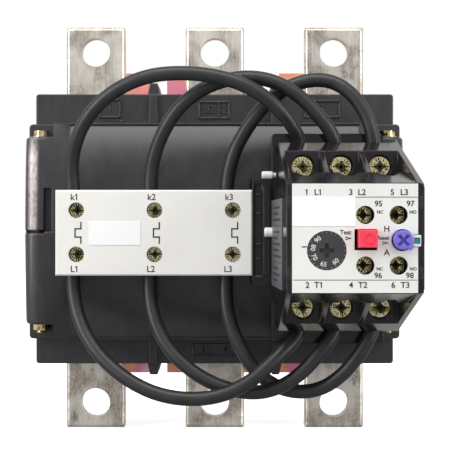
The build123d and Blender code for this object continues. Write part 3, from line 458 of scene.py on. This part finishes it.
class Detail:
    """Small shapes, in millimetres, gathered into one piece."""

    def __init__(self, name, material, body="frame", slot=None, bevel=0.0):
        self.name, self.material, self.body = name, material, body
        self.slot, self.bevel = slot, bevel
        self.shapes = bmesh.new()

    def __enter__(self):
        return self

    def __exit__(self, *problem):
        mesh = bpy.data.meshes.new(self.name)
        self.shapes.to_mesh(mesh)
        self.shapes.free()
        mesh.materials.append(self.material)
        piece = bpy.data.objects.new(self.name, mesh)
        bpy.context.scene.collection.objects.link(piece)
        if self.bevel:
            edge = piece.modifiers.new("bevel", "BEVEL")
            edge.width, edge.segments, edge.limit_method = self.bevel * MM, 2, "ANGLE"
        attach(piece, self.body)

    def block(self, x, y, z, turn=0.0, about=None):
        """A box between pairs of limits; turn is in degrees about the Y axis."""
        middle = Vector([(low + high) / 2 for low, high in (x, y, z)])
        size = [abs(high - low) for low, high in (x, y, z)]
        place = Matrix.Translation(middle * MM)
        if turn:
            pivot = (about or middle) * MM
            spin = Matrix.Rotation(math.radians(turn), 4, "Y")
            place = Matrix.Translation(pivot) @ spin @ Matrix.Translation(-pivot) @ place
        place = place @ Matrix.Diagonal((*[v * MM for v in size], 1))
        bmesh.ops.create_cube(self.shapes, size=1, matrix=place)

    def ring(self, x, z, inner, outer, y_back, y_front, steps=40):
        """A flat-faced ring that faces the front."""
        loops = []
        for step in range(steps):
            angle = 2 * math.pi * step / steps
            across, rise = math.cos(angle), math.sin(angle)
            loop = []
            for radius, y in (
                (outer, y_back), (outer, y_front), (inner, y_front), (inner, y_back)
            ):
                spot = Vector((x + radius * across, y, z + radius * rise))
                loop.append(self.shapes.verts.new(spot * MM))
            loops.append(loop)
        for loop, following in zip(loops, loops[1:] + loops[:1]):
            for i in range(4):
                j = (i + 1) % 4
                self.shapes.faces.new((loop[i], loop[j], following[j], following[i]))

    def text(self, words, x, z, y, height, turn=0.0, depth=0.06):
        """Lettering that faces the front, centred on a spot."""
        data = bpy.data.curves.new("letters", "FONT")
        data.body, data.size = words, height / CAPITAL * MM
        data.align_x = data.align_y = "CENTER"
        data.extrude, data.offset = depth / 2 * MM, THICKEN * MM
        holder = bpy.data.objects.new("letters", data)
        mesh = bpy.data.meshes.new_from_object(holder)
        if words.endswith("1"):
            add_flag(mesh, height * MM, depth * MM)
        mesh.transform(
            Matrix.Translation(Vector((x, y - depth / 2, z)) * MM)
            @ Matrix.Rotation(RIGHT_TURN, 4, "X")
            @ Matrix.Rotation(math.radians(turn), 4, "Z")
        )
        self.shapes.from_mesh(mesh)
        bpy.data.objects.remove(holder)

    def wedge(self, corners, y_back, y_front):
        """A flat shape with the given corners in X and Z, facing the front."""
        rear = [self.shapes.verts.new(Vector((x, y_back, z)) * MM) for x, z in corners]
        fore = [self.shapes.verts.new(Vector((x, y_front, z)) * MM) for x, z in corners]
        self.shapes.faces.new(fore)
        self.shapes.faces.new(rear[::-1])
        for i in range(len(corners)):
            j = (i + 1) % len(corners)
            self.shapes.faces.new((fore[i], rear[i], rear[j], fore[j]))


CT_X, CT_Z = (-52.1, -22.5, 7.1), (6.5, -10.2)
MAIN_Z, AUX_X, AUX_Z = 25.7, (3.15, 14.0), (7.6, -8.9)
DIAL = Vector((37.1, 0, -7.5))
KNOB = Vector((61.7, 0, -4.1))
PRINT = 0.05  # how far printing stands off its surface
DIAL_Y = -151.7
MAIN_HEAD_Y, CT_HEAD_Y, AUX_HEAD_Y = -103.0, -82.4, -144.9
MAIN_HEAD_R, SMALL_HEAD_R = 3.5, 2.8
SLOT_WIDTH, SLOT_FLOOR, SLOT_TOP, SLOT_GAP = 0.9, 0.88, 0.5, 0.02


def screw_ridges(name, spots, y, radius, count):
    """The fine radial ridges on a terminal screw's head and its washer, in a lighter zinc that
    paints the highlight they catch.
    """
    with Detail(name, ZINC_RIDGE_HIGHLIGHT, slot="zinc_screw") as ridges:
        for x, z in spots:
            ridges.ring(x, z, radius * 0.93, radius * 0.99, y, y - 0.18)
            for step in range(count):
                spin = 360 / count * (step + 0.5)
                ridges.block(
                    (x + radius * 0.62, x + radius * 0.95),
                    (y, y - 0.14),
                    (z - radius * 0.045, z + radius * 0.045),
                    spin,
                    Vector((x, y, z)),
                )


def screw_slots(name, spots, y, radius, gaps):
    """Painted shade with a greenish grime tint: in the crossed slots, a shadow ring round the head,
    a dark star across it, and the gaps between the ridges.
    """
    with Detail(name, GRIME_AND_SHADE, slot="dial_grey") as slots:
        for x, z in spots:
            for wide, tall in ((1.7 * radius, SLOT_WIDTH), (SLOT_WIDTH, 1.2 * radius)):
                slots.block(
                    (x - wide / 2 + SLOT_GAP, x + wide / 2 - SLOT_GAP),
                    (y + SLOT_FLOOR, y + SLOT_TOP),
                    (z - tall / 2 + SLOT_GAP, z + tall / 2 - SLOT_GAP),
                )
            slots.ring(x, z, radius * 0.7, radius * 0.74, y, y - 0.05)
            for turn in (30, 60, 120, 150):
                slots.block(
                    (x - radius * 0.44, x + radius * 0.44),
                    (y, y - 0.05),
                    (z - radius * 0.1, z + radius * 0.1),
                    turn,
                    Vector((x, y, z)),
                )
            for step in range(gaps):
                slots.block(
                    (x + radius * 0.55, x + radius * 0.93),
                    (y, y - 0.06),
                    (z - radius * 0.05, z + radius * 0.05),
                    360 / gaps * step,
                    Vector((x, y, z)),
                )


def face_marks():
    """Standard terminal numbers and plain words on the relay's plate."""
    with Detail("face_marks", INK_AND_SHADE, slot="dial_grey") as marks:
        def mark(words, u, w, height):
            marks.text(words, RELAY.x + u, RELAY.z + w, FACE_Y, height)

        for words, u in (("1", -15.9), ("3", -1.6), ("5", 11.9)):
            mark(words, u, 14.9, 1.9)
        for words, u in (("L1", -12.2), ("L2", 2.0), ("L3", 15.8)):
            mark(words, u, 14.9, 1.9)
        for words, u in (("2", -15.7), ("4", -1.5), ("6", 12.2)):
            mark(words, u, -15.3, 1.9)
        for words, u in (("T1", -12.0), ("T2", 2.3), ("T3", 16.1)):
            mark(words, u, -15.3, 1.9)
        for words, u, w in (
            ("95", 7.4, 11.2), ("97", 17.8, 11.2), ("96", 7.3, -12.2), ("98", 17.6, -12.2)
        ):
            mark(words, u, w, 1.8)
        for words, u, w in (
            ("NC", 7.9, 8.5), ("NO", 18.6, 8.5), ("NC", 7.8, -10.0), ("NO", 18.7, -10.0)
        ):
            mark(words, u, w, 1.0)
        mark("Test", -3.3, 1.9, 1.4)
        mark("Reset", 8.9, 0.1, 1.2)
        mark("H", 10.1, 3.0, 1.9)
        mark("A", 10.1, -4.7, 2.0)
        x, z = RELAY.x, RELAY.z
        printed = (FACE_Y, FACE_Y - PRINT)
        for u, w in ((-2.3, 0.0), (9.7, -1.5)):
            outer, inner = (
                [(x + u + back, z + w - half), (x + u + tip, z + w), (x + u + back, z + w + half)]
                for back, tip, half in ((-1.0, 1.1, 0.6), (-0.78, 0.2, 0.28))
            )
            for i in range(3):
                j = (i + 1) % 3
                marks.wedge([outer[i], outer[j], inner[j], inner[i]], *printed)
        marks.block((x - 0.1, x + 20.2), printed, (z + 13.3, z + 13.5))
        marks.block((x - 20.4, x + 20.2), printed, (z - 13.7, z - 13.5))
        marks.block((x - 17.6, x - 15.9), printed, (z - 3.0, z - 2.6))


def dial_marks():
    """Plain numbers and fine ticks round the rim of the dial."""
    number_r, ticks = 4.6, 24
    with Detail("dial_marks", PALE_INK, body="dial", slot="paper_label") as marks:
        for words, angle, outward in (
            ("90", 129, 1), ("80", 168, -1), ("70", 208, -1), ("65", 257, -1), ("60", 309, -1)
        ):
            turn = math.radians(angle)
            x = DIAL.x + number_r * math.cos(turn)
            z = DIAL.z + number_r * math.sin(turn)
            marks.text(words, x, z, DIAL_Y, 1.5, angle - 90 * outward, PRINT)
        centre = Vector((DIAL.x, DIAL_Y, DIAL.z))
        for step in range(ticks):
            marks.block(
                (DIAL.x + 5.75, DIAL.x + 6.1), (DIAL_Y, DIAL_Y - PRINT),
                (DIAL.z - 0.06, DIAL.z + 0.06), 360 / ticks * step, centre,
            )


def knob_tabs():
    """The knob's pointer ends, at H and A, far enough forward to clear the face when pressed."""
    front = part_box("reset_knob")[0][1] / MM + 0.05
    back = FACE_Y - PRESS_TRAVEL - 0.1
    centre = Vector((KNOB.x, FACE_Y, KNOB.z))
    with Detail("knob_tabs", BLUE, body="knob", slot="reset_blue", bevel=0.1) as tabs:
        for turn in (-135, 45):
            tabs.block(
                (KNOB.x + 2.6, KNOB.x + 4.0), (back, front), (KNOB.z - 0.8, KNOB.z + 0.8),
                turn, centre,
            )


def plate_marks():
    """Terminal letters and the heater symbols on the pale plate."""
    with Detail("plate_marks", INK_AND_SHADE, slot="dial_grey") as marks:
        y = PLATE_FRONT_Y
        for words, x in (("k1", -52.7), ("k2", -23.6), ("k3", 5.7)):
            marks.text(words, x, 11.4, y, 2.3)
        for words, x in (("L1", -52.7), ("L2", -23.9), ("L3", 5.3)):
            marks.text(words, x, -15.8, y, 2.3)

        def line(x0, x1, z0, z1, half=0.25):
            marks.block((x0 - half, x1 + half), (y, y - PRINT), (z0 - half, z1 + half))

        upper, lower = -0.5, -3.6
        for x in CT_X:
            left, right = x - 0.4, x + 1.8
            line(right, right, upper, 1.85)
            line(left, left, lower, upper)
            line(right, right, -5.9, lower)
            line(left, right, upper, upper)
            line(left, right, lower, lower)


def side_label_marks():
    """Rows of plain dashes on the label on the relay's left side."""
    wall_x, wall_y, wall_slope = 22.0, -84, 1.87 / 42  # the case's left wall, which leans in
    reaches = (118, 112, 121, None, 116, 109, 119, 114, 122, None, 111, 117, 108)
    with Detail("side_label_marks", INK_AND_SHADE, slot="dial_grey") as marks:
        def row(z, y0, y1, tall):
            bars = []
            for y in (y0, y1):
                x = wall_x + (wall_y - y) * wall_slope - 0.16
                bars += [(x, y, z - tall), (x, y, z + tall)]
            out = [marks.shapes.verts.new(Vector(c) * MM) for c in bars]
            deep = [marks.shapes.verts.new(Vector((c[0] + 0.1, *c[1:])) * MM) for c in bars]
            for loop in (out, deep[::-1]):
                marks.shapes.faces.new([loop[i] for i in (0, 1, 3, 2)])
            for a, b in ((0, 1), (1, 3), (3, 2), (2, 0)):
                marks.shapes.faces.new((out[a], deep[a], deep[b], out[b]))

        for step, reach in enumerate(reaches):
            z = 7.2 - 2.2 * step
            if reach is None:
                row(z, -90, -124, 0.12)
            else:
                row(z, -90.5, -96, 0.45)
                row(z, -98, -reach, 0.45)


def housing_marks():
    """Moulded frames, numbers and ribs on the housing's flanges, and the barrel's top lip."""
    with Detail("housing_marks", HOUSING, slot="housing_plastic", bevel=0.08) as marks:
        front, half = -48.0, 0.35
        raised, ribbed = (front + 0.2, -48.5), (front + 0.2, -49.4)

        def framed(x0, x1, z0, z1):
            for z in (z0, z1):
                marks.block((x0, x1), raised, (z - half, z + half))
            for x in (x0, x1):
                marks.block((x - half, x + half), raised, (z0 - half, z1 + half))

        framed(-6.4, 5.9, 44.8, 51.4)
        marks.block((1.6, 2.1), raised, (45, 51.2))
        framed(-46.9, -38.7, 45.2, 52.2)
        framed(37, 51, 45.2, 51.8)
        framed(-9, 9, -52.6, -47.7)
        for words, x, z in (
            ("02", -2.2, 48.1), ("2", 4.0, 48.1), ("1", -42.8, 48.7), ("3", 44, 48.5),
            ("12", -3.5, -50.2), ("4", 4.5, -50.2),
        ):
            marks.text(words, x, z, front + 0.1, 3.2, depth=0.4)
        marks.block((-61.5, 61.5), (-61.4, -62.9), (40.9, 41.5))
        for x in (-25, 25):
            top = [(x - 1.9, 42.4), (x + 1.9, 42.4), (x + 1.5, 54.4), (x - 1.5, 54.4)]
            low = [(x - 1.5, -55.4), (x + 1.5, -55.4), (x + 1.9, -45.6), (x - 1.9, -45.6)]
            marks.wedge(top, *ribbed)
            marks.wedge(low, *ribbed)


def step_shadow():
    """Painted shade: thin dark strips along the barrel's top and bottom, and where it meets the top
    flange.
    """
    with Detail("step_shadow", INK_AND_SHADE, slot="housing_plastic", bevel=0.05) as groove:
        groove.block((-61.5, 61.5), (-61.6, -62.75), (40.3, 40.85))
        groove.block((-61.5, 61.5), (-61.6, -62.75), (-43.9, -43.4))
        groove.block((-61.5, 61.5), (-47.9, -48.15), (41.45, 42.3))


def spacer_panel():
    """The raised panel and the ribs on the spacer's front."""
    with Detail("spacer_panel", RELAY_BLACK, slot="relay_plastic", bevel=0.12) as panel:
        front = -84.0
        panel.block((18.7, 21.4), (front + 0.2, front - 0.6), (-1.9, 15.9))
        panel.block((18.7, 21.4), (front + 0.2, front - 0.6), (-18.2, -3.0))
        for z in (12.4, 5.2, -6.4, -12.0):
            panel.block((15.5, 18.1), (front + 1.0, front - 0.3), (z - 0.4, z + 0.4))


def face_strips():
    """Small raised insets on the cover, beside the plate."""
    with Detail("face_strips", RELAY_BLACK, slot="relay_plastic", bevel=0.08) as strips:
        for side, x in ((-1, RELAY.x - 21.6), (1, RELAY.x + 21.4)):
            for w in (-11.5, 11.5):
                z = RELAY.z + w
                strips.block((x - 0.5, x + 0.5), (COVER_Y + 0.1, COVER_Y - 0.3), (z - 2.2, z + 2.2))


def small_details():
    main = [(RELAY.x + u, RELAY.z + w) for u in POLES for w in (-MAIN_Z, MAIN_Z)]
    aux = [(RELAY.x + u, RELAY.z + w) for u in AUX_X for w in AUX_Z]
    ct = [(x, z) for x in CT_X for z in CT_Z]
    screw_ridges("main_screw_ridges", main, MAIN_HEAD_Y, MAIN_HEAD_R, 18)
    screw_ridges("ct_screw_ridges", ct, CT_HEAD_Y, SMALL_HEAD_R, 14)
    screw_ridges("aux_screw_ridges", aux, AUX_HEAD_Y, SMALL_HEAD_R, 14)
    screw_slots("main_screw_slots", main, MAIN_HEAD_Y, MAIN_HEAD_R, 12)
    screw_slots("ct_screw_slots", ct, CT_HEAD_Y, SMALL_HEAD_R, 14)
    screw_slots("aux_screw_slots", aux, AUX_HEAD_Y, SMALL_HEAD_R, 14)
    face_marks()
    dial_marks()
    knob_tabs()
    plate_marks()
    side_label_marks()
    housing_marks()
    step_shadow()
    spacer_panel()
    face_strips()


# ---- return springs behind the test button and the reset knob ----
SPRING_BACK, SPRING_FRONT = -131.9, -145.6
SPRING_R, SPRING_WIRE_R, SPRING_TURNS, STEPS_A_TURN = 2.0, 0.3, 7, 16


def return_spring(node, x, z):
    """A coil that presses a button outwards."""
    data = bpy.data.curves.new(node + "_wire", "CURVE")
    data.dimensions = "3D"
    steps = SPRING_TURNS * STEPS_A_TURN
    spline = data.splines.new("POLY")
    spline.points.add(steps)
    for step, point in enumerate(spline.points):
        turn = 2 * math.pi * step / STEPS_A_TURN
        y = SPRING_BACK + (SPRING_FRONT - SPRING_BACK) * step / steps
        spot = Vector((x + SPRING_R * math.cos(turn), y, z + SPRING_R * math.sin(turn)))
        point.co = (*spot * MM, 1)
    data.bevel_depth, data.bevel_resolution = SPRING_WIRE_R * MM, 3
    data.use_fill_caps = True
    holder = bpy.data.objects.new("wire", data)
    mesh = bpy.data.meshes.new_from_object(holder)
    bpy.data.objects.remove(holder)
    mesh.materials.append(STEEL)
    piece = bpy.data.objects.new(node + "_coil", mesh)
    bpy.context.scene.collection.objects.link(piece)
    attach(piece, "frame")
    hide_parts(node)
    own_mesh(piece)


# ---- studio, in metres ----
LENS, SENSOR, SHIFT = 99.12, 36.0, (0.00667, 0.00556)
EYE = (0.003, -0.555, 0)
FLOOR_HALF = 6.0
# direction cosine against brightness: upwards, and away from the camera's side
WORLD_HEIGHT = (
    (-1.0, 0.45), (-0.4, 0.72), (-0.1, 0.88), (0.12, 1.2), (0.5, 1.05), (1.0, 0.9)
)
WORLD_DEPTH = ((-1.0, 0.45), (-0.85, 0.6), (-0.6, 0.85), (-0.1, 0.5), (1.0, 0.8))
LAMPS = (
    # name, place, target, size, power
    ("front_top", (-0.1, -0.6, 1.15), (0, -0.05, 0), (1.3, 0.5), 11),
    ("left", (-1.1, -0.75, 0.35), (0, -0.05, 0), (0.3, 0.9), 9),
    ("right", (1.1, -0.7, 0.2), (0, -0.05, 0), (0.3, 1.1), 7),
)


def camera():
    data = bpy.data.cameras.new("camera")
    data.lens, data.sensor_width = LENS, SENSOR
    data.shift_x, data.shift_y = SHIFT
    data.clip_start = 0.01
    eye = bpy.data.objects.new("camera", data)
    eye.location = EYE
    eye.rotation_euler = (RIGHT_TURN, 0, 0)
    bpy.context.scene.collection.objects.link(eye)
    bpy.context.scene.camera = eye


def floor():
    """A pale floor that the object neither mirrors nor takes light from."""
    mesh = bpy.data.meshes.new("floor")
    level = cad_box[0][2]
    corners = [(-1, -1), (1, -1), (1, 1), (-1, 1)]
    spots = [(x * FLOOR_HALF, y * FLOOR_HALF, level) for x, y in corners]
    mesh.from_pydata(spots, [], [(0, 1, 2, 3)])
    plane = bpy.data.objects.new("floor", mesh)
    bpy.context.scene.collection.objects.link(plane)
    paint = Paint("floor", grey(0.9), 0.7, Emission_Color=(1, 1, 1, 1), Emission_Strength=0.7)
    paint.color(paint.ramp(paint.noise(400), (0.3, grey(0.89)), (0.7, grey(0.92))))
    mesh.materials.append(paint.material)
    plane.visible_glossy = plane.visible_diffuse = False


def lamp(name, place, target, size, power):
    data = bpy.data.lights.new(name, "AREA")
    data.shape = "RECTANGLE"
    data.size, data.size_y = size
    data.energy = power
    obj = bpy.data.objects.new(name, data)
    obj.location = place
    obj.rotation_euler = (Vector(target) - Vector(place)).to_track_quat("-Z", "Y").to_euler()
    bpy.context.scene.collection.objects.link(obj)


def studio_world():
    """A studio that is brightest at eye level and above, and dimmer behind the camera."""
    world = bpy.data.worlds.new("studio")
    world.use_nodes = True
    tree = world.node_tree
    background = tree.nodes["Background"]
    place = tree.nodes.new("ShaderNodeTexCoord")
    split = tree.nodes.new("ShaderNodeSeparateXYZ")
    tree.links.new(place.outputs["Generated"], split.inputs[0])
    factors = []
    for axis, stops in (("Z", WORLD_HEIGHT), ("Y", WORLD_DEPTH)):
        shift = tree.nodes.new("ShaderNodeMapRange")
        shift.inputs["From Min"].default_value = -1
        tree.links.new(split.outputs[axis], shift.inputs["Value"])
        ramp = tree.nodes.new("ShaderNodeValToRGB")
        while len(ramp.color_ramp.elements) < len(stops):
            ramp.color_ramp.elements.new(0.5)
        for element, (position, value) in zip(ramp.color_ramp.elements, stops):
            element.position = (position + 1) / 2
            element.color = (*grey(value), 1)
        tree.links.new(shift.outputs["Result"], ramp.inputs["Fac"])
        factors.append(ramp.outputs["Color"])
    both = tree.nodes.new("ShaderNodeMix")
    both.data_type, both.blend_type = "RGBA", "MULTIPLY"
    both.inputs["Factor"].default_value = 1
    tree.links.new(factors[0], both.inputs["A"])
    tree.links.new(factors[1], both.inputs["B"])
    tree.links.new(both.outputs["Result"], background.inputs["Color"])
    backdrop = tree.nodes.new("ShaderNodeBackground")
    backdrop.inputs["Color"].default_value = (1, 1, 1, 1)
    path = tree.nodes.new("ShaderNodeLightPath")
    choose = tree.nodes.new("ShaderNodeMixShader")
    tree.links.new(path.outputs["Is Camera Ray"], choose.inputs[0])
    tree.links.new(background.outputs[0], choose.inputs[1])
    tree.links.new(backdrop.outputs[0], choose.inputs[2])
    tree.links.new(choose.outputs[0], tree.nodes["World Output"].inputs["Surface"])
    bpy.context.scene.world = world


camera()
for name, route in LEADS.items():
    lead(name, route)
dress_cad_nodes()
small_details()
return_spring("test_spring", RELAY.x + 3.7, RELAY.z - 0.15)
return_spring("reset_spring", RELAY.x + 15.2, RELAY.z - 0.6)
floor()
studio_world()
for name, place, target, size, power in LAMPS:
    lamp(name, place, target, size, power)
bpy.context.scene.view_settings.view_transform = "Standard"
